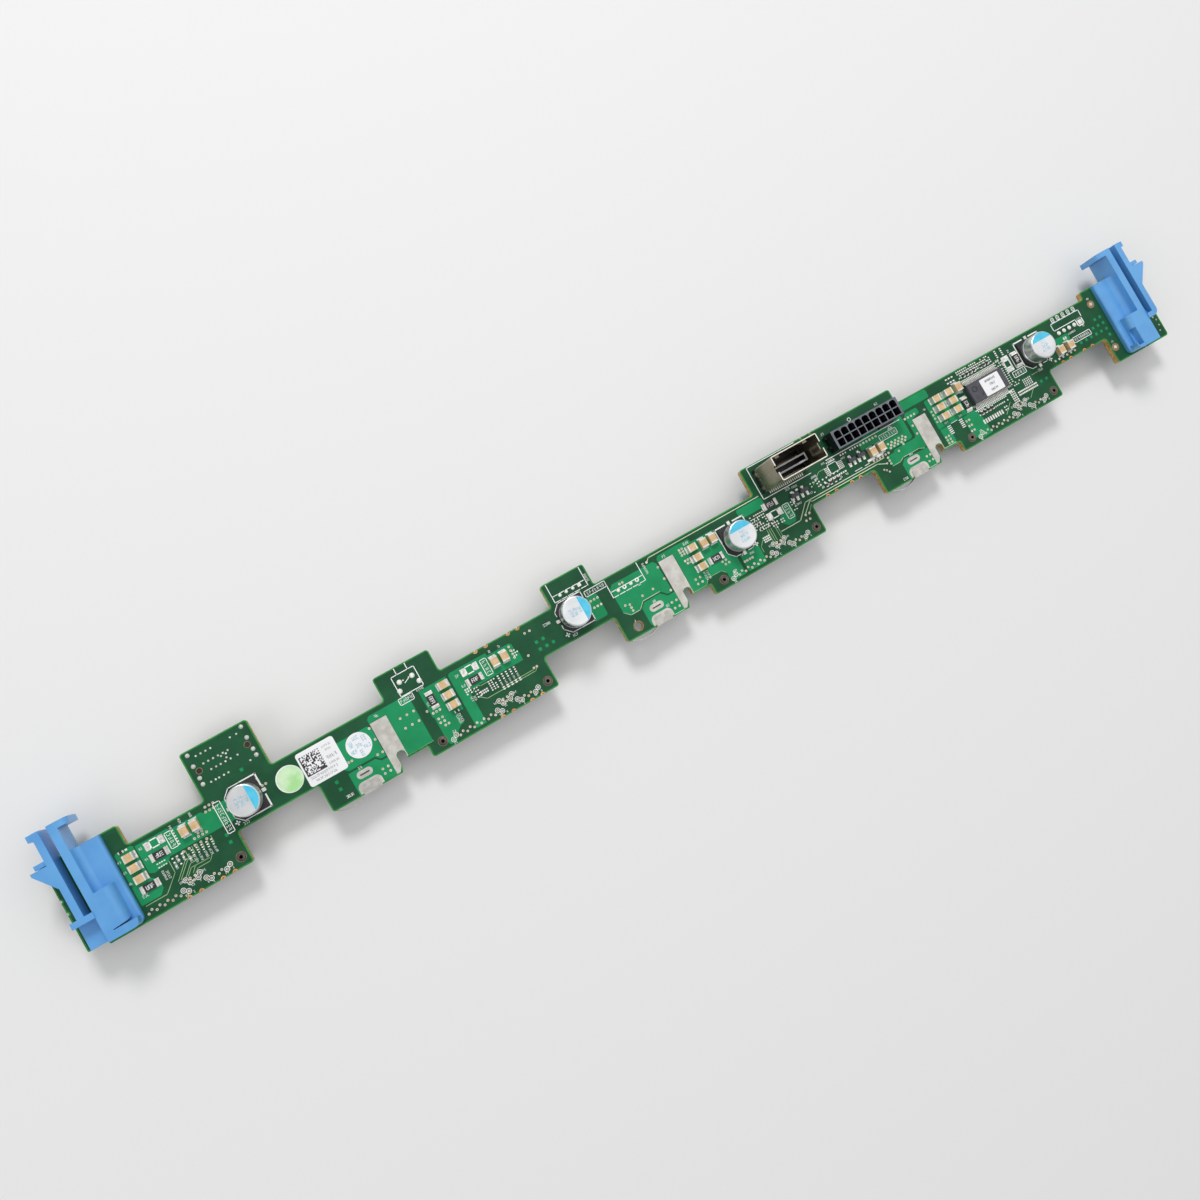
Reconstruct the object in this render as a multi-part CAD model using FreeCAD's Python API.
import FreeCAD, Part
import math
import os

# A drive backplane board: a long printed circuit board that stands on edge at the back of a
# four-bay drive cage. The shape is worked out in board coordinates:
#   x runs along the board from its middle, y runs up from the line of drive connector pegs,
#   z runs out of the board's rear face, which carries the cable sockets (rear face at z = 0).
# On export everything moves so that the origin is the bottom centre of the whole part.

# ---- driving dimensions, millimetres ----------------------------------------------------------
# Places along the board are given from the left peg of a bay, as (bay, x, y), or from an end.
BOARD_THICK = 2.4
BAYS = 4
BAY_PITCH = 108.2
PEG_SPACING = 38.7
LEFT_MARGIN = 11.2
RIGHT_MARGIN = 93.8

EDGE_TOP_Y = 20.2
BAY_EDGE_Y = -3.1
GAP_EDGE_Y = 7.15
CLIP_EDGE_Y = -2.35
END_TAB_Y = 26.95
LEFT_TAB_LENGTH = 23.3
RIGHT_TAB_LENGTH = 24.8
RIGHT_EDGE_Y = 24.2
CORNER_R = 1.0

# Tabs on the upper edge: bay, start, end, top.
PANEL_TAB = (0, 37.0, 59.2, 36.3)
SWITCH_TAB = (1, -10.0, 9.8, 28.1)
SENSOR_TAB = (2, -56.7, -40.3, 28.1)
CABLE_TAB = (2, 24.0, 88.8, 29.9)

BAY_LEFT = 4.85
BAY_RIGHT = 41.4
STRIP_LEFT = 39.7
STEP_Y = 0.87
NOTCH_FROM = 14.65
NOTCH_TO = 12.0
NOTCH_Y = 3.93
NOTCH_CHAMFER = 0.85

BITE_R = 0.46
FIT = 0.1
SHEET = 0.25

DRIVE_WIDTH = 5.6
DRIVE_HEIGHT = 8.0
DRIVE_END_WALL = 1.1
DRIVE_EAR_HEIGHT = 3.0
DRIVE_EAR_WALL = 0.65
DRIVE_SLOT_WIDTH = 2.4
DRIVE_SLOT_DEPTH = 6.0
DRIVE_SLOT_MARGIN = 2.0
DRIVE_KEY = (1.2, 0.8)
DRIVE_CONTACT_PITCH = 1.27
DRIVE_FINE_PITCH = 0.8
DRIVE_CONTACT_WIDTH = 0.5
DRIVE_CONTACT_THICK = 0.25
SIGNAL_CONTACTS = 7
POWER_CONTACTS = 15
GROUP_STEP = 2.3

RIVET_R = 1.05
RIVET_BORE_R = 0.58
RIVET_HEAD_R = 1.3
RIVET_HEAD = 0.3
RIVET_SOCKET = 1.6

SERVICE_HOLE = (2, -34.0, 0.8)
SERVICE_HOLE_R = 1.5

LATCH_Y = 36.1
LATCH_TOP = 6.8
LATCH_BAR_TOP = 6.4
LATCH_UNDER = 3.7
LATCH_FOOT_Y = -2.4
LATCH_FLANGE = 2.15
LATCH_PEG_R = 1.4
LATCH_PEG_HEAD_R = 2.2
LATCH_PEG_HEAD = 0.8
LATCH_PEG_IN = 13.6
LATCH_PEGS_Y = (22.6, 15.2)
RIGHT_LATCH_INSET = 1.33
# Distances in from the latch's end: finger, bar, block, hook, flange, end wall, lug, step, tip.
LATCH_FINGER = (3.5, 5.7)
LATCH_BAR = (8.05, 10.7)
LATCH_BLOCK_IN = 16.0
LATCH_HOOK_IN = 14.1
LATCH_PLATE_IN = 18.3
LATCH_WALL_IN = 17.8
LATCH_LUG_IN = 1.25
LATCH_STEP_IN = 1.58
LATCH_TIP_IN = 1.9
LATCH_PLATE_Y = 26.8
LATCH_BLOCK_TOP = (12.35, 10.6)
LATCH_BRIDGE_Y = (5.85, 7.8)
LATCH_STEP_Y = -2.05
LATCH_POCKET_IN = (14.9, 17.3)
LATCH_POCKET_Y = 5.6
LATCH_RIB = 2.0
LATCH_WALL = 2.5
LATCH_ROLL_R = 2.6
LATCH_COVE_R = 2.0
LATCH_EASE_R = 1.0
LATCH_CORNER_R = 2.0
LATCH_BRIDGE_R = 2.2
WEDGE_TIP = 1.45
WEDGE_TOP_Y = 25.85

CLIP_PLACES = ((1, -25.75), (2, -25.2), (3, -24.5))
CLIP_WIDTH = 6.2
CLIP_CORNER_R = 1.3
CLIP_REACH = 3.4
SPRING_RISE = 1.4
SPRING_LENGTH = 9.8
SPRING_HEIGHT = 1.9

DATA_SOCKET = (2, 37.0, 23.2)
DATA_LENGTH = 18.25
DATA_DEPTH = 8.87
DATA_BASE = 3.1
DATA_TOP = 19.7
DATA_WALL = 0.35
DATA_FLOOR = 0.65
DATA_CAVITY = 6.6
DATA_BAR_LENGTH = 15.6
DATA_BAR_WIDTH = 2.9
DATA_BAR_TOP = 8.2
DATA_BAR_WALL = 0.6
DATA_BAR_OFFSET = -0.2
DATA_CONTACTS = 18
DATA_PITCH = 0.8
DATA_BLADE = 0.36
DATA_LUG_Z = 16.2

HEADER = (2, 71.75, 22.72)
HEADER_COLUMNS = 9
HEADER_PITCH = 3.0
HEADER_LENGTH = 28.3
HEADER_DEPTH = 6.72
HEADER_HEIGHT = 6.4
HEADER_CELL = 2.6
HEADER_FLOOR = 0.9
HEADER_PIN = 0.64
HEADER_PIN_TOP = 2.9
HEADER_TAIL = 1.6
HEADER_EARS_Y = (21.4, 25.1)
HEADER_RAMP = (3.6, 9.4)

PANEL_SOCKET = (0, 48.05)
PANEL_LENGTH = 19.8
PANEL_Y = (23.2, 36.0)
PANEL_BLOCK_DEPTH = 7.0
PANEL_TONGUE = (15.6, 1.2)
PANEL_TONGUE_RISE = 1.2
PANEL_HEIGHT = 8.0
PANEL_WALL = 0.35
PANEL_CONTACTS = 18
PANEL_LEGS_Y = (34.9, 31.1, 27.1, 25.0)
PANEL_LEG_R = 0.4
PANEL_LEG_INSET = 1.05
PANEL_PEG_INSET = 0.9
PANEL_PEG_Y = 29.1
PANEL_PEG_R = 0.8
SOLDER_R = 0.68
SOLDER_HEIGHT = 0.4

CAN_R = 5.0
CAN_TOP = 7.56
CAN_BASE = 10.3
CAN_BASE_HEIGHT = 1.1
CAN_BASE_CHAMFER = 2.0
CAN_NECK_R = 4.75
CAN_GROOVE = (1.9, 2.5)
CAN_EDGE_R = 0.5
CANS = (
    (0, 48.1, 14.5, "left"),
    (2, -51.1, 15.1, "left"),
    (2, 11.2, 10.3, "down"),
    (3, 39.2, 16.4, "down"),
)

CERAMIC_LENGTH = 3.2
CERAMIC_WIDTH = 2.5
CERAMIC_HEIGHT = 2.3
CERAMIC_END = 0.5
# Rows of parts that lie along the board: bay, x, then each y.
CERAMICS_ALONG = (
    (0, 11.2, (16.5, 13.0, 9.4)),
    (1, 8.5, (15.6, 12.0, 8.5)),
    (2, -4.8, (14.8, 11.1, 7.6)),
    (3, -5.8, (18.5, 15.1, 11.5)),
    (3, -0.3, (18.5, 15.1, 11.5)),
)
# Rows of parts that stand across the board: bay, y, then each x.
CERAMICS_UP = (
    (0, 15.4, (28.2, 31.7)),
    (1, 14.0, (26.6, 30.2)),
    (2, 14.3, (-0.4, 3.2)),
    (2, 13.1, (70.8, 74.5)),
    (3, 18.4, (4.3,)),
    (3, 11.7, (49.0, 53.4)),
)

SENSE_LENGTH = 5.0
SENSE_WIDTH = 2.5
SENSE_HEIGHT = 0.6
SENSE_END = 0.7
SENSE_ALONG = (
    (0, 18.9, (12.9,)),
    (0, 12.3, (5.9,)),
    (1, 18.3, (12.1,)),
    (2, 1.2, (7.7,)),
    (2, 27.7, (14.7,)),
)
SENSE_UP = ((1, 13.1, (3.3,)), (3, 11.5, (4.6,)), (3, 16.8, (31.7,)))

CHIP = (3, 14.8, 13.5)
CHIP_LENGTH = 15.9
CHIP_WIDTH = 7.5
CHIP_HEIGHT = 2.3
CHIP_STAND = 0.15
CHIP_LEAD_COUNT = 24
CHIP_PITCH = 0.635
CHIP_LEAD_WIDTH = 0.3
CHIP_LEAD_THICK = 0.2
CHIP_LEAD_REACH = 1.4
CHIP_LABEL = (1.6, -0.2, 8.4, 6.6)

TRANSISTOR_BODY = (2.9, 1.4, 1.0)
TRANSISTOR_LEAD = (0.45, 0.7, 0.3)
TRANSISTORS = ((2, 37.4, 13.2), (2, 41.3, 13.2), (2, 62.7, 14.2), (2, 66.7, 14.2))

SMALL_LENGTH = 1.6
SMALL_WIDTH = 0.8
SMALL_HEIGHT = 0.5
SMALL_END = 0.35
SMALL_UP = (
    (2, 10.9, (49.8, 51.6, 53.4, 55.2)),
    (3, 21.0, (9.4, 11.0, 12.6, 14.2, 17.2, 18.8, 20.4)),
    (3, 5.8, (8.4, 10.0, 11.6, 13.2)),
)
SMALL_ALONG = (
    (0, 9.7, (19.0,)),
    (1, 8.4, (6.1,)),
    (2, 20.6, (12.6, 10.6, 8.6)),
    (2, 24.2, (8.6,)),
)

LABEL_THICK = 0.12
LABEL_CORNER_R = 0.9
DATA_LABEL = (0, 72.8, 13.3, 12.8, 11.4)
GREEN_STICKER = (0, 62.0, 13.4, 4.3)
WHITE_STICKER = (0, 85.0, 12.0, 4.1)


# ---- values worked out from the driving dimensions --------------------------------------------
BOARD_LENGTH = LEFT_MARGIN + BAY_PITCH * (BAYS - 1) + RIGHT_MARGIN
HALF = BOARD_LENGTH / 2
PEGS_A = [-HALF + LEFT_MARGIN + BAY_PITCH * bay for bay in range(BAYS)]
DRIVE_SLOT_SPAN = DRIVE_CONTACT_PITCH * (SIGNAL_CONTACTS + GROUP_STEP + POWER_CONTACTS - 1)
DRIVE_SLOT_LENGTH = DRIVE_SLOT_SPAN + 2 * DRIVE_SLOT_MARGIN
DATA_X = PEGS_A[DATA_SOCKET[0]] + DATA_SOCKET[1]
DATA_Y = DATA_SOCKET[2]
HEADER_X = PEGS_A[HEADER[0]] + HEADER[1]
HEADER_Y = HEADER[2]
PANEL_X = PEGS_A[PANEL_SOCKET[0]] + PANEL_SOCKET[1]
PANEL_LEG_X = PANEL_LENGTH / 2 - PANEL_LEG_INSET
PANEL_PEG_X = PANEL_LEG_X - PANEL_PEG_INSET
CHIP_X = PEGS_A[CHIP[0]] + CHIP[1]
CHIP_Y = CHIP[2]
BACK = -BOARD_THICK
LEAF_Y = CLIP_EDGE_Y - SHEET - SPRING_RISE
BOTTOM_Z = BACK - DRIVE_HEIGHT
LEFT_X = -HALF - WEDGE_TIP
RIGHT_X = HALF - RIGHT_LATCH_INSET + WEDGE_TIP
TOP_Y = PANEL_TAB[3]
ORIGIN = FreeCAD.Vector((LEFT_X + RIGHT_X) / 2, (LEAF_Y + TOP_Y) / 2, BOTTOM_Z)


# ---- helpers ----------------------------------------------------------------------------------
def vec(x, y, z=0.0):
    return FreeCAD.Vector(x, y, z)


def box(x0, x1, y0, y1, z0, z1):
    return Part.makeBox(x1 - x0, y1 - y0, z1 - z0, vec(x0, y0, z0))


def box_at(x, y, length, width, z0, z1):
    return box(x - length / 2, x + length / 2, y - width / 2, y + width / 2, z0, z1)


def rod(x, y, z0, z1, radius):
    return Part.makeCylinder(radius, z1 - z0, vec(x, y, z0))


def corner(before, here, after, radius):
    """The two tangent points and the middle point of a rounded corner."""
    back = (before - here).normalize()
    ahead = (after - here).normalize()
    half_angle = back.getAngle(ahead) / 2
    reach = radius / math.tan(half_angle)
    towards = (back + ahead).normalize()
    middle = here + towards * (radius / math.sin(half_angle) - radius)
    return here + back * reach, middle, here + ahead * reach


def outline(points):
    """A closed wire through (x, y) points; a third number rounds that corner."""
    places = [vec(p[0], p[1]) for p in points]
    radii = [p[2] if len(p) > 2 else 0.0 for p in points]
    stations = []
    for i, here in enumerate(places):
        if radii[i] > 0:
            after = places[(i + 1) % len(places)]
            stations.append(corner(places[i - 1], here, after, radii[i]))
        else:
            stations.append((here,))
    edges = []
    for i, station in enumerate(stations):
        if len(station) == 3:
            edges.append(Part.Arc(*station).toShape())
        start = station[-1]
        end = stations[(i + 1) % len(stations)][0]
        if start.distanceToPoint(end) > 1e-6:
            edges.append(Part.makeLine(start, end))
    return Part.Wire(edges)


def slab(points, z0, z1):
    """A plate with the given outline between two heights."""
    face = Part.Face(outline(points))
    face.translate(vec(0, 0, z0))
    return face.extrude(vec(0, 0, z1 - z0))


def rounded_box(x, y, length, width, radius, z0, z1):
    x0, x1 = x - length / 2, x + length / 2
    y0, y1 = y - width / 2, y + width / 2
    return slab([(x0, y0, radius), (x1, y0, radius), (x1, y1, radius), (x0, y1, radius)], z0, z1)


def join(shapes):
    return shapes[0].fuse(shapes[1:]).removeSplitter() if len(shapes) > 1 else shapes[0]


def spot(bay, x, y):
    """A place given from a bay's left peg, on the board."""
    return PEGS_A[bay] + x, y


def turned(length, width, upright):
    return (width, length) if upright else (length, width)


def save(node, shapes):
    """Write one node; several solids in a node stay separate solids."""
    shape = Part.makeCompound(shapes) if len(shapes) > 1 else shapes[0]
    shape.translate(-ORIGIN)
    shape.exportStep("parts/" + node + ".step")
    print(node, len(shapes), "solid(s)")


# ---- the circuit board ------------------------------------------------------------------------
def bay_edge(peg_x):
    """Lower edge of one bay from the gap on its left to its own right end."""
    notch = peg_x - NOTCH_FROM
    return [
        (peg_x - STRIP_LEFT, GAP_EDGE_Y, CORNER_R),
        (peg_x - STRIP_LEFT, CLIP_EDGE_Y, CORNER_R),
        (notch - NOTCH_CHAMFER, CLIP_EDGE_Y),
        (notch, CLIP_EDGE_Y + 2.6 * NOTCH_CHAMFER),
        (notch, NOTCH_Y, CORNER_R),
        (peg_x - NOTCH_TO, NOTCH_Y, CORNER_R),
        (peg_x - NOTCH_TO, STEP_Y, 0.5),
        (peg_x - BAY_LEFT, STEP_Y, 0.5),
        (peg_x - BAY_LEFT, BAY_EDGE_Y, CORNER_R),
        (peg_x + BAY_RIGHT, BAY_EDGE_Y, CORNER_R),
        (peg_x + BAY_RIGHT, GAP_EDGE_Y, CORNER_R),
    ]


def tab_edge(tab, left_y, right_y):
    """A tab on the upper edge, walked from right to left."""
    bay, start, end, top = tab
    x0, x1 = PEGS_A[bay] + start, PEGS_A[bay] + end
    return [
        (x1, right_y, CORNER_R),
        (x1, top, CORNER_R),
        (x0, top, CORNER_R),
        (x0, left_y, CORNER_R),
    ]


def board_outline():
    first = PEGS_A[0]
    right_tab = HALF - RIGHT_TAB_LENGTH
    left_tab = -HALF + LEFT_TAB_LENGTH
    points = [(-HALF, BAY_EDGE_Y + 1.05, 0.5), (first - BAY_LEFT, BAY_EDGE_Y + 1.05, 0.3)]
    points += [(first - BAY_LEFT, BAY_EDGE_Y, 0.5)]
    points += [(first + BAY_RIGHT, BAY_EDGE_Y, CORNER_R), (first + BAY_RIGHT, GAP_EDGE_Y, CORNER_R)]
    for peg_x in PEGS_A[1:]:
        points += bay_edge(peg_x)
    points += [(right_tab, GAP_EDGE_Y, CORNER_R), (right_tab, BAY_EDGE_Y, CORNER_R)]
    points += [(HALF, BAY_EDGE_Y, CORNER_R), (HALF, END_TAB_Y, CORNER_R)]
    points += [(right_tab, END_TAB_Y, CORNER_R), (right_tab, RIGHT_EDGE_Y, CORNER_R)]
    points += tab_edge(CABLE_TAB, EDGE_TOP_Y, RIGHT_EDGE_Y)
    for tab in (SENSOR_TAB, SWITCH_TAB, PANEL_TAB):
        points += tab_edge(tab, EDGE_TOP_Y, EDGE_TOP_Y)
    points += [(left_tab, EDGE_TOP_Y, CORNER_R), (left_tab, END_TAB_Y, CORNER_R)]
    points += [(-HALF, END_TAB_Y, CORNER_R)]
    return points


def snapped_edge_bites():
    """Centres of the half holes left where the board was snapped out of its panel."""
    bites = [(PEGS_A[bay] + x, BAY_EDGE_Y) for bay in (0, 1) for x in (20.5, 24.35, 31.35, 35.2)]
    bites += [(PEGS_A[1] + x, EDGE_TOP_Y) for x in (22.8, 26.6, 34.8, 38.4)]
    bites += [(PEGS_A[bay] + x, GAP_EDGE_Y) for bay in (2, 3) for x in (48.3, 52.1, 58.75, 62.55)]
    tab_x = PEGS_A[CABLE_TAB[0]] + CABLE_TAB[1]
    bites += [(tab_x + step, CABLE_TAB[3]) for step in (26.0, 30.0)]
    bites += [(HALF - LEFT_MARGIN, BAY_EDGE_Y), (-HALF, 14.8), (-HALF, 10.7)]
    return bites


def circuit_board():
    board = slab(board_outline(), BACK, 0)
    cuts = [rod(x, y, BACK - 1, 1, BITE_R) for x, y in snapped_edge_bites()]
    for peg_x in PEGS_A:
        for x in (peg_x, peg_x + PEG_SPACING):
            cuts.append(rod(x, 0, BACK - 1, 1, RIVET_R + FIT / 2))
    service_x, service_y = spot(*SERVICE_HOLE)
    cuts.append(rod(service_x, service_y, BACK - 1, 1, SERVICE_HOLE_R))
    for x, y in panel_leg_places():
        cuts.append(rod(x, y, BACK - 1, 1, PANEL_LEG_R + FIT))
    for x in (PANEL_X - PANEL_PEG_X, PANEL_X + PANEL_PEG_X):
        cuts.append(rod(x, PANEL_PEG_Y, BACK - 1, 1, PANEL_PEG_R + FIT / 2))
    for x, y in header_cells():
        cuts.append(rod(x, y, BACK - 1, 1, HEADER_PIN * 0.7071 + FIT))
    for leg in data_shell_legs(FIT):
        cuts.append(leg)
    for mirror in (False, True):
        for x, y in latch_peg_places(mirror):
            cuts.append(rod(x, y, BACK - 1, 1, LATCH_PEG_R + FIT))
    return board.cut(cuts)


# ---- end latches ------------------------------------------------------------------------------
def end_box(mirror, d0, d1, y0, y1, z0, z1):
    """A box given by its distance in from the latch's end of the board."""
    if mirror:
        edge = HALF - RIGHT_LATCH_INSET
        return box(edge - d1, edge - d0, y0, y1, z0, z1)
    return box(-HALF + d0, -HALF + d1, y0, y1, z0, z1)


def end_x(mirror, d):
    return HALF - RIGHT_LATCH_INSET - d if mirror else -HALF + d


def latch_peg_places(mirror):
    return [(end_x(mirror, LATCH_PEG_IN), y) for y in LATCH_PEGS_Y]


def end_slab(mirror, points, z0, z1):
    """A plate whose outline is given by distances in from the latch's end of the board."""
    placed = [(end_x(mirror, p[0]),) + tuple(p[1:]) for p in points]
    return slab(placed[::-1] if mirror else placed, z0, z1)


def inner_top_edge(mirror, shape, d, top):
    """The upper edge, along y, of a block's side at distance d."""
    x = end_x(mirror, d)
    return [
        e for e in shape.Edges
        if abs(e.BoundBox.XMin - x) < 1e-4 and abs(e.BoundBox.XMax - x) < 1e-4
        and e.BoundBox.ZMin > top - 1e-4
    ]


def latch_block(mirror):
    """The thick foot of the latch, with its long inner edge rolled over."""
    block_y = LATCH_BLOCK_TOP[1] if mirror else LATCH_BLOCK_TOP[0]
    block = end_box(mirror, LATCH_BAR[0], LATCH_BLOCK_IN, LATCH_FOOT_Y, block_y, 0, LATCH_BAR_TOP)
    return block.makeFillet(LATCH_ROLL_R, inner_top_edge(mirror, block, LATCH_BLOCK_IN, LATCH_BAR_TOP))


def latch_hook(mirror):
    """The rib across the free end of the bar."""
    end_y = LATCH_Y - LATCH_RIB
    rib = end_box(mirror, LATCH_BAR[0], LATCH_HOOK_IN, end_y, LATCH_Y, -LATCH_UNDER, LATCH_BAR_TOP)
    return rib.makeFillet(LATCH_ROLL_R, inner_top_edge(mirror, rib, LATCH_HOOK_IN, LATCH_BAR_TOP))


def latch_plate(mirror):
    """The thin flange that lies on the board, with its inner top edge eased."""
    inner = LATCH_PLATE_IN
    points = [
        (LATCH_BAR[0], LATCH_FOOT_Y), (inner, LATCH_FOOT_Y, LATCH_CORNER_R),
        (inner, LATCH_PLATE_Y), (LATCH_BAR[0], LATCH_PLATE_Y),
    ]
    plate = end_slab(mirror, points, 0, LATCH_FLANGE)
    return plate.makeFillet(LATCH_EASE_R, inner_top_edge(mirror, plate, inner, LATCH_FLANGE)[:1])


def latch_cove(mirror):
    """The hollow fillet between the bar's inner wall and the flange."""
    block_y = LATCH_BLOCK_TOP[1] if mirror else LATCH_BLOCK_TOP[0]
    wall = LATCH_BAR[1]
    reach = wall + LATCH_COVE_R
    top = LATCH_FLANGE + LATCH_COVE_R
    filler = end_box(mirror, wall - 0.1, reach, block_y - 0.1, LATCH_PLATE_Y, LATCH_FLANGE - 0.1, top)
    start = vec(end_x(mirror, reach), block_y - 1, top)
    hollow = Part.makeCylinder(LATCH_COVE_R, LATCH_PLATE_Y - block_y + 2, start, vec(0, 1, 0))
    return filler.cut(hollow)


def latch_wedge(mirror):
    """The catch: a wedge on the finger's outer side with a small stop above it."""
    root = LATCH_FINGER[0] + 0.1
    points = [
        (-WEDGE_TIP, WEDGE_TOP_Y), (-WEDGE_TIP, WEDGE_TOP_Y - 0.95),
        (root, WEDGE_TOP_Y - 7.8), (root, WEDGE_TOP_Y),
    ]
    wedge = end_slab(mirror, points, 2.0, LATCH_TOP)
    stop = end_box(mirror, -0.12, root, WEDGE_TOP_Y + 0.25, WEDGE_TOP_Y + 1.65, 2.0, LATCH_TOP - 1.0)
    return [wedge, stop]


def latch_bridge(mirror):
    """The bar that joins finger and body; the left one carries a lug, the right one is rounded."""
    foot, head = LATCH_BRIDGE_Y
    inner = LATCH_BAR[0] + 0.1
    outer = LATCH_FINGER[0]
    if mirror:
        points = [(outer, foot, LATCH_BRIDGE_R), (inner, foot), (inner, head + 1.2), (outer, head + 1.2)]
        bridge = end_slab(mirror, points, 0, LATCH_TOP)
        gap = end_box(mirror, LATCH_FINGER[1], LATCH_BAR[0], head, head + 2, -1, LATCH_TOP + 1)
        return [bridge.cut(gap)]
    return [
        end_box(mirror, LATCH_LUG_IN, inner, foot, head, 0, LATCH_TOP),
        end_box(mirror, LATCH_FINGER[1] - 0.1, inner, foot - 0.1, head, 0, LATCH_FLANGE),
        end_box(mirror, LATCH_STEP_IN, inner, LATCH_STEP_Y, foot + 0.1, 0, LATCH_FLANGE),
    ]


def latch_end_wall(mirror):
    """The low wall round the lower end of the foot."""
    points = [
        (LATCH_BAR[0], LATCH_FOOT_Y), (LATCH_WALL_IN, LATCH_FOOT_Y, LATCH_CORNER_R),
        (LATCH_WALL_IN, LATCH_FOOT_Y + LATCH_WALL), (LATCH_BAR[0], LATCH_FOOT_Y + LATCH_WALL),
    ]
    return end_slab(mirror, points, 0, LATCH_BAR_TOP - 0.4)


def latch_cuts(mirror):
    """The slit above the end wall, the right latch's pocket, the left one's rivet recess."""
    slit_y = LATCH_FOOT_Y + LATCH_WALL
    if mirror:
        inner, outer = LATCH_POCKET_IN
        return [end_box(mirror, inner, outer, slit_y - 1.2, LATCH_POCKET_Y, LATCH_FLANGE + 1, LATCH_BAR_TOP)]
    start, end = LATCH_BAR[1] + 0.1, LATCH_BLOCK_IN + 0.6
    slit = [(start, slit_y), (end, slit_y), (end, slit_y + 1.3), (end - 1.4, slit_y + 0.6),
            (start, slit_y + 0.2)]
    recess = rod(PEGS_A[0], 0, -1, RIVET_HEAD + 0.9, RIVET_HEAD_R + 0.5)
    return [end_slab(mirror, slit, LATCH_FLANGE + 0.6, LATCH_BAR_TOP + 1), recess]


def latch(mirror):
    """One end latch: a plate with a stiff bar and a sprung finger, moulded in one piece."""
    hang_y = END_TAB_Y + 0.3
    bar0, bar1 = LATCH_BAR
    finger0, finger1 = LATCH_FINGER
    foot = LATCH_BRIDGE_Y[1] if mirror else LATCH_BRIDGE_Y[0]
    end_y = LATCH_Y - LATCH_RIB
    shapes = [
        latch_block(mirror),
        latch_hook(mirror),
        latch_plate(mirror),
        latch_cove(mirror),
        latch_end_wall(mirror),
        end_box(mirror, bar0, bar1, LATCH_BRIDGE_Y[0], LATCH_Y, 0, LATCH_BAR_TOP),
        end_box(mirror, bar0, bar1, hang_y, LATCH_Y, -LATCH_UNDER, LATCH_BAR_TOP),
        end_box(mirror, finger0, finger1, foot, LATCH_Y, 0.4, LATCH_TOP),
        end_box(mirror, finger0, finger1, hang_y, LATCH_Y, -LATCH_UNDER, LATCH_TOP),
        end_box(mirror, LATCH_TIP_IN, finger0 + 0.1, end_y, LATCH_Y, -LATCH_UNDER, LATCH_TOP - 0.5),
    ]
    shapes += latch_wedge(mirror)
    shapes += latch_bridge(mirror)
    for x, y in latch_peg_places(mirror):
        shapes.append(rod(x, y, BACK, 0.5, LATCH_PEG_R))
        head = rod(x, y, BACK - LATCH_PEG_HEAD, BACK, LATCH_PEG_HEAD_R)
        shapes.append(head.makeFillet(0.5, [e for e in head.Edges if e.BoundBox.ZMax < BACK - 0.5]))
    return join(shapes).cut(latch_cuts(mirror))


# ---- drive connectors on the front face -------------------------------------------------------
def drive_centre(bay):
    return PEGS_A[bay] + PEG_SPACING / 2


def drive_contact_slots():
    """Contact places along the slot, as (x, side): the signal group, power group, second port."""
    start = -DRIVE_SLOT_SPAN / 2
    power = SIGNAL_CONTACTS + GROUP_STEP
    places = [(start + DRIVE_CONTACT_PITCH * i, 1) for i in range(SIGNAL_CONTACTS)]
    places += [(start + DRIVE_CONTACT_PITCH * (power + i), 1) for i in range(POWER_CONTACTS)]
    second = start + DRIVE_CONTACT_PITCH * (SIGNAL_CONTACTS + 0.6)
    places += [(second + DRIVE_FINE_PITCH * i, -1) for i in range(SIGNAL_CONTACTS)]
    return places


def drive_housing(bay):
    """Socket with a keyed slot, between two low ears that take the rivets."""
    x = drive_centre(bay)
    body_length = DRIVE_SLOT_LENGTH + 2 * DRIVE_END_WALL
    body = box_at(x, 0, body_length, DRIVE_WIDTH, BOTTOM_Z, BACK)
    upright = [
        e for e in body.Edges
        if e.BoundBox.ZMax - e.BoundBox.ZMin > DRIVE_HEIGHT - 0.01
    ]
    body = body.makeFillet(0.6, upright)
    ear_length = PEG_SPACING + 2 * (RIVET_R + DRIVE_EAR_WALL)
    ears = box_at(x, 0, ear_length, DRIVE_WIDTH - 0.8, BACK - DRIVE_EAR_HEIGHT, BACK)
    mouth = BOTTOM_Z + DRIVE_SLOT_DEPTH
    end = DRIVE_SLOT_LENGTH / 2
    half_slot = DRIVE_SLOT_WIDTH / 2
    key_length, key_width = DRIVE_KEY
    cuts = [
        box_at(x, 0, DRIVE_SLOT_LENGTH, DRIVE_SLOT_WIDTH, BOTTOM_Z - 1, mouth),
        box(x - end, x - end + key_length, 0, half_slot + key_width, BOTTOM_Z - 1, mouth),
    ]
    for side in (-1, 1):
        peg_x = x + side * PEG_SPACING / 2
        cuts.append(rod(peg_x, 0, BACK - RIVET_SOCKET - FIT, BACK + 1, RIVET_R + FIT / 2))
    return join([body, ears]).cut(cuts)


def drive_contacts(bay):
    x = drive_centre(bay)
    wall = DRIVE_SLOT_WIDTH / 2
    ceiling = BOTTOM_Z + DRIVE_SLOT_DEPTH
    contacts = []
    for offset, side in drive_contact_slots():
        y = side * (wall - DRIVE_CONTACT_THICK / 2)
        width = DRIVE_CONTACT_WIDTH
        blade = box_at(x + offset, y, width, DRIVE_CONTACT_THICK, BOTTOM_Z + 0.8, ceiling)
        contacts.append(blade)
    return contacts


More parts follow.
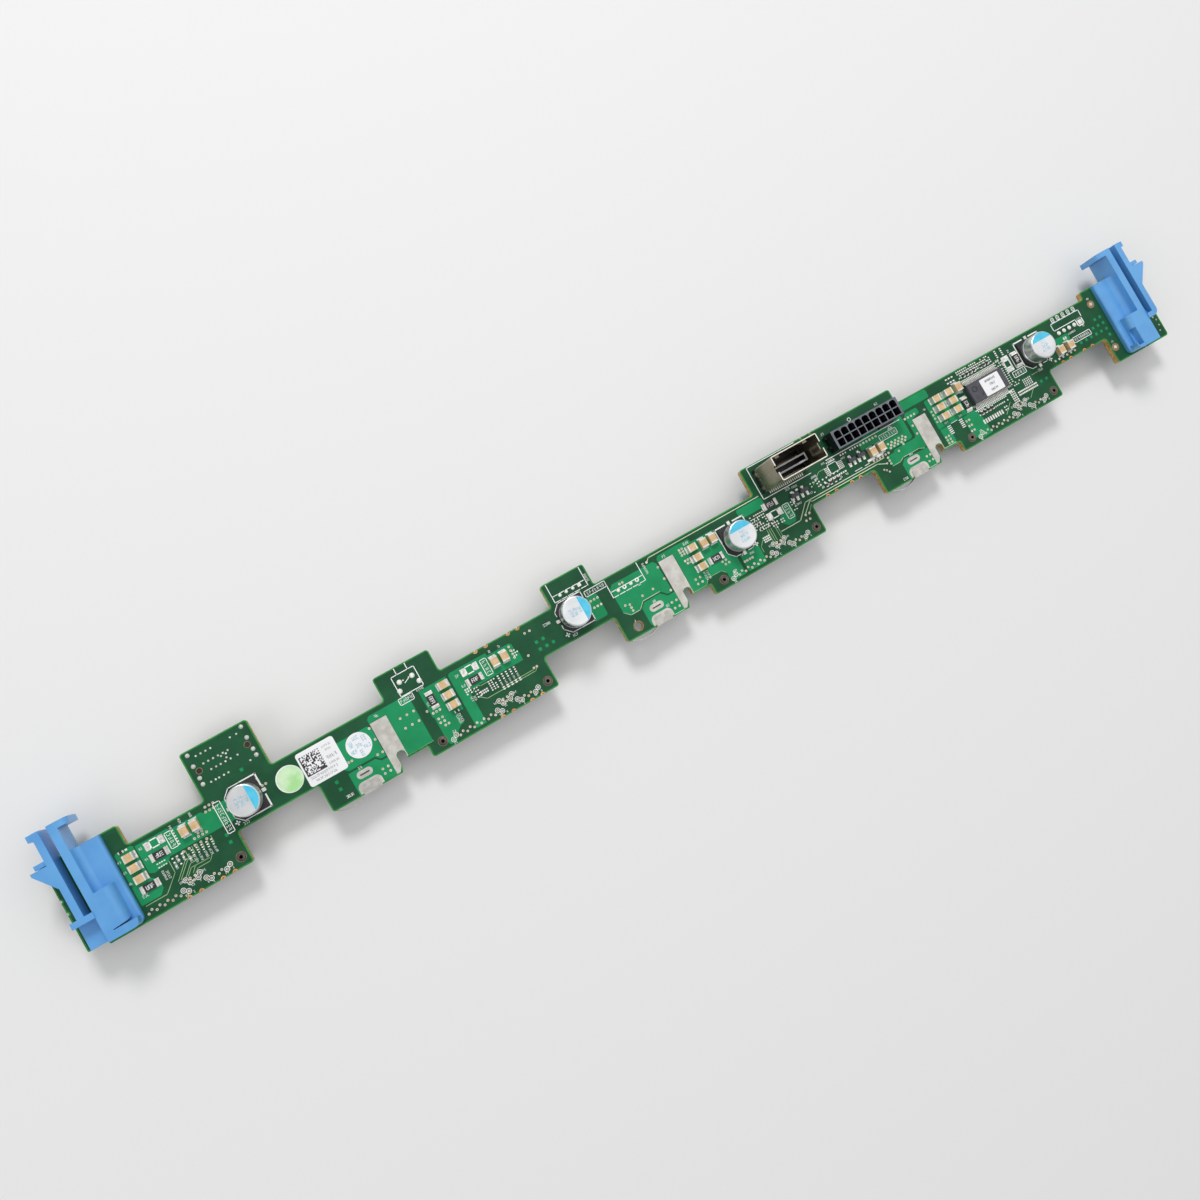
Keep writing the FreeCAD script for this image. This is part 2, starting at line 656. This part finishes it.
def connector_rivets():
    rivets = []
    for peg_x in PEGS_A:
        for x in (peg_x, peg_x + PEG_SPACING):
            shank = rod(x, 0, BACK - RIVET_SOCKET, 0.1, RIVET_R)
            head = rod(x, 0, 0, RIVET_HEAD, RIVET_HEAD_R)
            rim = [e for e in head.Edges if e.BoundBox.ZMin > RIVET_HEAD - 1e-4]
            head = head.makeFillet(0.2, rim)
            bore = rod(x, 0, BACK - RIVET_SOCKET - 1, RIVET_HEAD + 1, RIVET_BORE_R)
            rivets.append(shank.fuse(head).removeSplitter().cut(bore))
    return rivets


# ---- ground clips -----------------------------------------------------------------------------
def ground_clip(bay, offset):
    """Sheet-metal clip folded round the lower edge, with a bowed spring leaf to its left."""
    x = PEGS_A[bay] + offset
    y0 = CLIP_EDGE_Y - SHEET
    left = x - CLIP_WIDTH / 2
    leaf_end = left - SPRING_LENGTH
    right, top = x + CLIP_WIDTH / 2, y0 + CLIP_REACH
    rear = slab([(left, y0), (right, y0), (right, top, CLIP_CORNER_R), (left, top, CLIP_CORNER_R)], 0, SHEET)
    front = box_at(x, y0 + CLIP_REACH / 2, CLIP_WIDTH, CLIP_REACH, BACK - SHEET, BACK)
    fold = box_at(x, y0 + SHEET / 2, CLIP_WIDTH, SHEET, BACK - SHEET, SHEET)
    middle = (left + leaf_end) / 2
    outer = Part.Arc(vec(left + 0.2, y0), vec(middle, LEAF_Y), vec(leaf_end, y0)).toShape()
    inner_start = vec(leaf_end, y0 + SHEET)
    inner_end = vec(left + 0.2, y0 + SHEET)
    inner = Part.Arc(inner_start, vec(middle, LEAF_Y + SHEET), inner_end).toShape()
    ends = [Part.makeLine(vec(leaf_end, y0), inner_start), Part.makeLine(inner_end, vec(left + 0.2, y0))]
    face = Part.Face(Part.Wire([outer, ends[0], inner, ends[1]]))
    face.translate(vec(0, 0, BACK + 0.25))
    leaf = face.extrude(vec(0, 0, SPRING_HEIGHT))
    return join([rear, front, fold, leaf])


# ---- shielded data connector on the rear face --------------------------------------------------
def data_shell_legs(clearance=0.0):
    """Shell legs that pass down the ends of the base and through the board."""
    legs = []
    for side in (-1, 1):
        x = DATA_X + side * (DATA_LENGTH / 2 - DATA_WALL / 2)
        for step in (-2.6, 2.6):
            leg = box_at(x, DATA_Y + step, DATA_WALL + 2 * clearance, 1.3 + 2 * clearance,
                         BACK - 0.8 - clearance, DATA_BASE + 0.2)
            legs.append(leg)
    return legs


def data_shell():
    outer = box_at(DATA_X, DATA_Y, DATA_LENGTH, DATA_DEPTH, DATA_BASE, DATA_TOP)
    upright = [
        e for e in outer.Edges
        if e.BoundBox.ZMax - e.BoundBox.ZMin > DATA_TOP - DATA_BASE - 0.01
    ]
    outer = outer.makeFillet(0.6, upright)
    inner_length = DATA_LENGTH - 2 * DATA_WALL
    inner_depth = DATA_DEPTH - 2 * DATA_WALL
    cuts = [box_at(DATA_X, DATA_Y, inner_length, inner_depth, DATA_BASE - 1, DATA_TOP + 1)]
    for side in (-1, 1):
        x = DATA_X + side * DATA_LENGTH / 2
        cuts.append(box_at(x, DATA_Y, 2.0, 2.4, DATA_TOP - 2.2, DATA_TOP + 1))
        window_x = DATA_X + side * 5.6
        cuts.append(box_at(window_x, DATA_Y + DATA_DEPTH / 2, 2.0, 1.6, 13.0, 16.4))
    shell = outer.cut(cuts)
    lugs = []
    for side in (-1, 1):
        lug_x = DATA_X + side * 5.6
        y1 = DATA_Y + DATA_DEPTH / 2 - DATA_WALL / 2
        lugs.append(box(lug_x - 0.8, lug_x + 0.8, y1 - 0.9, y1, DATA_LUG_Z, DATA_LUG_Z + DATA_WALL))
    return join([shell] + lugs + data_shell_legs())


def data_base():
    """The base block, hollowed on either side of an upright bar that is slotted for the plug's card."""
    block = box_at(DATA_X, DATA_Y, DATA_LENGTH, DATA_DEPTH, 0, DATA_BASE)
    cavity = box_at(DATA_X, DATA_Y, DATA_BAR_LENGTH, DATA_CAVITY, DATA_FLOOR, DATA_BASE + 1)
    bar_y = DATA_Y + DATA_BAR_OFFSET
    bar = box_at(DATA_X, bar_y, DATA_BAR_LENGTH, DATA_BAR_WIDTH, DATA_FLOOR - 0.1, DATA_BAR_TOP)
    slot = box_at(DATA_X, bar_y, DATA_BAR_LENGTH - 2 * DATA_BAR_WALL,
                  DATA_BAR_WIDTH - 2 * DATA_BAR_WALL, DATA_BASE, DATA_BAR_TOP + 1)
    base = block.cut(cavity).fuse(bar).cut(slot).removeSplitter()
    cuts = data_shell_legs(FIT / 2)
    for x in contact_row(DATA_X, DATA_CONTACTS, DATA_PITCH):
        y0 = DATA_Y - DATA_DEPTH / 2
        cuts.append(box_at(x, y0 + 0.6, 0.4, 1.4, -1, 0.35))
    return base.cut(cuts)


def contact_row(x, count, pitch):
    start = x - pitch * (count - 1) / 2
    return [start + pitch * i for i in range(count)]


def data_contacts():
    """A soldered tail for each place, and a short standing blade on either side of the bar."""
    contacts = []
    y0 = DATA_Y - DATA_DEPTH / 2
    lower_y = DATA_Y - DATA_CAVITY / 2 + 0.2
    upper_y = DATA_Y + DATA_BAR_OFFSET + DATA_BAR_WIDTH / 2 + 0.6
    for x in contact_row(DATA_X, DATA_CONTACTS, DATA_PITCH):
        tail = box(x - 0.17, x + 0.17, y0 - 0.9, y0 + 1.25, 0, 0.3)
        contacts.append(tail)
        contacts.append(box_at(x, lower_y, DATA_BLADE, 0.4, DATA_FLOOR, DATA_BASE + 0.3))
        contacts.append(box_at(x, upper_y, DATA_BLADE, 0.3, DATA_FLOOR, DATA_BASE + 0.6))
    return contacts


# ---- power header -----------------------------------------------------------------------------
def header_cells():
    xs = contact_row(HEADER_X, HEADER_COLUMNS, HEADER_PITCH)
    return [(x, HEADER_Y + side * HEADER_PITCH / 2) for x in xs for side in (-1, 1)]


def header_housing():
    """Cells with two chamfered corners alternate with square ones, so the plug fits one way."""
    body = box_at(HEADER_X, HEADER_Y, HEADER_LENGTH, HEADER_DEPTH, 0, HEADER_HEIGHT)
    ramp_y = HEADER_Y - HEADER_DEPTH / 2
    ramp = box(HEADER_X + HEADER_RAMP[0], HEADER_X + HEADER_RAMP[1], ramp_y - 0.8, ramp_y + 0.1,
               HEADER_HEIGHT - 2.6, HEADER_HEIGHT - 0.6)
    lip = [e for e in ramp.Edges if e.BoundBox.YMax < ramp_y - 0.7 and e.BoundBox.ZMin > HEADER_HEIGHT - 0.7]
    ramp = ramp.makeChamfer(0.7, lip)
    ears = []
    for y in HEADER_EARS_Y:
        x0 = HEADER_X - HEADER_LENGTH / 2
        ears.append(box(x0 - 0.9, x0 + 0.1, y - 0.5, y + 0.5, 0, 2.4))
    body = join([body, ramp] + ears)
    cuts = []
    half = HEADER_CELL / 2
    for i, (x, y) in enumerate(header_cells()):
        bevel = 0.6 if (i // 2 + i) % 3 != 0 else 0.0
        corners = [
            (x - half, y - half), (x + half, y - half),
            (x + half, y + half - bevel), (x + half - bevel, y + half),
            (x - half + bevel, y + half), (x - half, y + half - bevel),
        ]
        if bevel == 0.0:
            corners = [(x - half, y - half), (x + half, y - half), (x + half, y + half), (x - half, y + half)]
        cuts.append(slab(corners, HEADER_FLOOR, HEADER_HEIGHT + 1))
        pin = HEADER_PIN + FIT
        cuts.append(box_at(x, y, pin, pin, -1, HEADER_FLOOR + 1))
    return body.cut(cuts)


def header_pins():
    return [
        box_at(x, y, HEADER_PIN, HEADER_PIN, BACK - HEADER_TAIL, HEADER_PIN_TOP)
        for x, y in header_cells()
    ]


# ---- data connector on the front face of the tall tab ------------------------------------------
def panel_leg_places():
    return [(PANEL_X + side * PANEL_LEG_X, y) for side in (-1, 1) for y in PANEL_LEGS_Y]


def panel_shell():
    x0, x1 = PANEL_X - PANEL_LENGTH / 2, PANEL_X + PANEL_LENGTH / 2
    y0, y1 = PANEL_Y
    low = BACK - PANEL_HEIGHT
    wall = PANEL_WALL
    shell = box(x0, x1, y0, y1, low, BACK).cut(box(x0 + wall, x1 - wall, y0 + wall, y1 + 1,
                                                   low + wall, BACK - wall))
    legs = [rod(x, y, BACK - wall / 2, 0, PANEL_LEG_R) for x, y in panel_leg_places()]
    body = join([shell] + legs)
    cuts = [
        rod(PANEL_X + side * PANEL_PEG_X, PANEL_PEG_Y, BACK - 1, BACK + 1, PANEL_PEG_R + FIT / 2)
        for side in (-1, 1)
    ]
    for side in (-1, 1):
        cuts.append(box_at(PANEL_X + side * 5.0, y1 - 3.2, 2.0, 3.0, low - 1, low + wall + 0.1))
    return body.cut(cuts)


def panel_tongue_z():
    return BACK - PANEL_HEIGHT / 2 + PANEL_TONGUE_RISE


def panel_insert():
    """Insulator: a rear block with two pegs into the board and a tongue for the cable plug."""
    wall = PANEL_WALL
    half = PANEL_LENGTH / 2 - wall
    y0, y1 = PANEL_Y
    low = BACK - PANEL_HEIGHT
    face_y = y0 + wall + PANEL_BLOCK_DEPTH
    block = box(PANEL_X - half, PANEL_X + half, y0 + wall, face_y, low + wall, BACK - wall)
    length, thick = PANEL_TONGUE
    middle = panel_tongue_z()
    tongue = box(PANEL_X - length / 2, PANEL_X + length / 2, face_y - 0.1, y1 - 1.5,
                 middle - thick / 2, middle + thick / 2)
    pegs = [
        rod(PANEL_X + side * PANEL_PEG_X, PANEL_PEG_Y, BACK - wall - 0.1, -0.2, PANEL_PEG_R)
        for side in (-1, 1)
    ]
    return join([block, tongue] + pegs)


def panel_contacts():
    middle = panel_tongue_z()
    y0 = PANEL_Y[0] + PANEL_WALL + PANEL_BLOCK_DEPTH
    y1 = PANEL_Y[1] - 2.2
    contacts = []
    for x in contact_row(PANEL_X, PANEL_CONTACTS, DATA_PITCH):
        for side in (-1, 1):
            z = middle + side * (PANEL_TONGUE[1] / 2 + 0.075)
            contacts.append(box(x - 0.2, x + 0.2, y0, y1, z - 0.075, z + 0.075))
    return contacts


def solder_joints():
    """Solder domes over the shell legs of the connector behind the tall tab."""
    joints = []
    for x, y in panel_leg_places():
        cone = Part.makeCone(SOLDER_R, PANEL_LEG_R * 0.6, SOLDER_HEIGHT, vec(x, y, 0))
        joints.append(cone)
    return joints


# ---- capacitors, resistors, chips --------------------------------------------------------------
def can_shape(x, y):
    """Rolled aluminium can: rounded top edge and one crimped groove near the foot."""
    low, high = CAN_GROOVE
    z0 = CAN_BASE_HEIGHT
    profile = [
        vec(x, y, z0), vec(x + CAN_R, y, z0), vec(x + CAN_R, y, low),
        vec(x + CAN_NECK_R, y, (low + high) / 2), vec(x + CAN_R, y, high),
        vec(x + CAN_R, y, CAN_TOP - CAN_EDGE_R), vec(x + CAN_R - CAN_EDGE_R, y, CAN_TOP),
        vec(x, y, CAN_TOP),
    ]
    edges = []
    for i, point in enumerate(profile):
        after = profile[(i + 1) % len(profile)]
        if i == 5:
            bend = CAN_EDGE_R * (1 - math.sqrt(0.5))
            middle = vec(x + CAN_R - bend, y, CAN_TOP - bend)
            edges.append(Part.Arc(point, middle, after).toShape())
        else:
            edges.append(Part.makeLine(point, after))
    return Part.Face(Part.Wire(edges)).revolve(vec(x, y, 0), vec(0, 0, 1), 360)


def can_base(x, y, plus_side):
    """Square foot with the two corners on the plus side cut off."""
    half = CAN_BASE / 2
    cut = CAN_BASE_CHAMFER
    points = [
        (-half, half), (-half, -half + cut), (-half + cut, -half),
        (half - cut, -half), (half, -half + cut), (half, half),
    ]
    if plus_side == "left":
        points = [(py, -px) for px, py in points]
    return slab([(x + px, y + py) for px, py in points], 0, CAN_BASE_HEIGHT)


def can_terminals(x, y, plus_side):
    reach = CAN_BASE / 2
    terminals = []
    for side in (-1, 1):
        length, width = turned(1.3, 1.1, plus_side == "down")
        shift = side * (reach + 0.65)
        tx, ty = (x, y + shift) if plus_side == "down" else (x + shift, y)
        terminals.append(box_at(tx, ty, length, width, 0, 0.3))
    return terminals


def two_ended(x, y, length, width, height, end, upright):
    """Body and two end caps of a leadless chip part."""
    step = (length - end) / 2
    body_length = length - 2 * end
    caps = []
    for side in (-1, 1):
        cx, cy = (x, y + side * step) if upright else (x + side * step, y)
        cap_length, cap_width = turned(end, width, upright)
        caps.append(box_at(cx, cy, cap_length, cap_width, 0, height))
    body_x, body_y = turned(body_length, width - 0.04, upright)
    return box_at(x, y, body_x, body_y, 0, height - 0.04), caps


def chip_family(along, up, sizes):
    bodies = []
    caps = []
    for places, upright in ((along, False), (up, True)):
        for x, y in places:
            body, ends = two_ended(x, y, sizes[0], sizes[1], sizes[2], sizes[3], upright)
            bodies.append(body)
            caps += ends
    return bodies, caps


def columns(table):
    return [spot(bay, x, y) for bay, x, ys in table for y in ys]


def rows(table):
    return [spot(bay, x, y) for bay, y, xs in table for x in xs]


def controller_chip():
    body = box_at(CHIP_X, CHIP_Y, CHIP_LENGTH, CHIP_WIDTH, CHIP_STAND, CHIP_HEIGHT)
    top = [e for e in body.Edges if e.BoundBox.ZMin > CHIP_HEIGHT - 1e-4]
    return body.makeChamfer(0.25, top)


def controller_leads():
    """Gull-wing leads down both long sides."""
    leads = []
    middle = (CHIP_STAND + CHIP_HEIGHT) / 2
    half = CHIP_WIDTH / 2
    foot = half + CHIP_LEAD_REACH
    thick = CHIP_LEAD_THICK
    for x in contact_row(CHIP_X, CHIP_LEAD_COUNT, CHIP_PITCH):
        for side in (-1, 1):
            profile = [
                (half, middle), (half + 0.5, middle), (half + 0.8, thick), (foot, thick),
                (foot, 0), (half + 0.6, 0), (half + 0.3, middle - thick), (half, middle - thick),
            ]
            points = [vec(x - CHIP_LEAD_WIDTH / 2, CHIP_Y + side * a, b) for a, b in profile]
            face = Part.Face(Part.makePolygon(points + points[:1]))
            leads.append(face.extrude(vec(CHIP_LEAD_WIDTH, 0, 0)))
    return leads


def transistors():
    length, width, height = TRANSISTOR_BODY
    bodies = []
    leads = []
    wide, reach, tall = TRANSISTOR_LEAD
    for x, y in [spot(*place) for place in TRANSISTORS]:
        bodies.append(box_at(x, y, length, width, 0.1, height))
        for step, side in ((-0.95, -1), (0.95, -1), (0, 1)):
            cy = y + side * (width + reach) / 2
            leads.append(box_at(x + step, cy, wide, reach, 0, tall))
    return bodies, leads


# ---- stickers ---------------------------------------------------------------------------------
def data_label():
    x, y = spot(*DATA_LABEL[:3])
    length, width = DATA_LABEL[3:]
    return rounded_box(x, y, length, width, LABEL_CORNER_R, 0, LABEL_THICK)


def controller_label():
    dx, dy, length, width = CHIP_LABEL
    return rounded_box(CHIP_X + dx, CHIP_Y + dy, length, width, 0.4, CHIP_HEIGHT, CHIP_HEIGHT + LABEL_THICK)


def round_sticker(sticker):
    x, y = spot(*sticker[:3])
    radius = sticker[3]
    return rod(x, y, 0, LABEL_THICK, radius)


# ---- write every node -------------------------------------------------------------------------
def main():
    os.makedirs("parts", exist_ok=True)
    save("circuit_board", [circuit_board()])
    save("left_latch", [latch(False)])
    save("right_latch", [latch(True)])
    for bay in range(BAYS):
        save("drive_connector_%d" % (bay + 1), [drive_housing(bay)])
        save("drive_contacts_%d" % (bay + 1), drive_contacts(bay))
    save("connector_rivets", connector_rivets())
    for bay, offset in CLIP_PLACES:
        save("ground_clip_%d" % bay, [ground_clip(bay, offset)])
    save("data_connector_shell", [data_shell()])
    save("data_connector_base", [data_base()])
    save("data_connector_contacts", data_contacts())
    save("power_header_housing", [header_housing()])
    save("power_header_pins", header_pins())
    save("panel_connector_shell", [panel_shell()])
    save("panel_connector_insert", [panel_insert()])
    save("panel_connector_contacts", panel_contacts())
    save("solder_joints", solder_joints())
    cans = [spot(bay, x, y) + (plus,) for bay, x, y, plus in CANS]
    save("capacitor_cans", [can_shape(x, y) for x, y, plus in cans])
    save("capacitor_bases", [can_base(x, y, plus) for x, y, plus in cans])
    save("capacitor_terminals", [t for x, y, plus in cans for t in can_terminals(x, y, plus)])
    sizes = (CERAMIC_LENGTH, CERAMIC_WIDTH, CERAMIC_HEIGHT, CERAMIC_END)
    bodies, caps = chip_family(columns(CERAMICS_ALONG), rows(CERAMICS_UP), sizes)
    save("ceramic_capacitor_bodies", bodies)
    save("ceramic_capacitor_ends", caps)
    sizes = (SENSE_LENGTH, SENSE_WIDTH, SENSE_HEIGHT, SENSE_END)
    bodies, caps = chip_family(columns(SENSE_ALONG), rows(SENSE_UP), sizes)
    save("sense_resistor_bodies", bodies)
    save("sense_resistor_ends", caps)
    sizes = (SMALL_LENGTH, SMALL_WIDTH, SMALL_HEIGHT, SMALL_END)
    bodies, caps = chip_family(columns(SMALL_ALONG), rows(SMALL_UP), sizes)
    save("small_chip_bodies", bodies)
    save("small_chip_ends", caps)
    save("controller_chip", [controller_chip()])
    save("controller_leads", controller_leads())
    save("controller_label", [controller_label()])
    bodies, leads = transistors()
    save("transistor_bodies", bodies)
    save("transistor_leads", leads)
    save("data_label", [data_label()])
    save("green_sticker", [round_sticker(GREEN_STICKER)])
    save("white_sticker", [round_sticker(WHITE_STICKER)])


main()
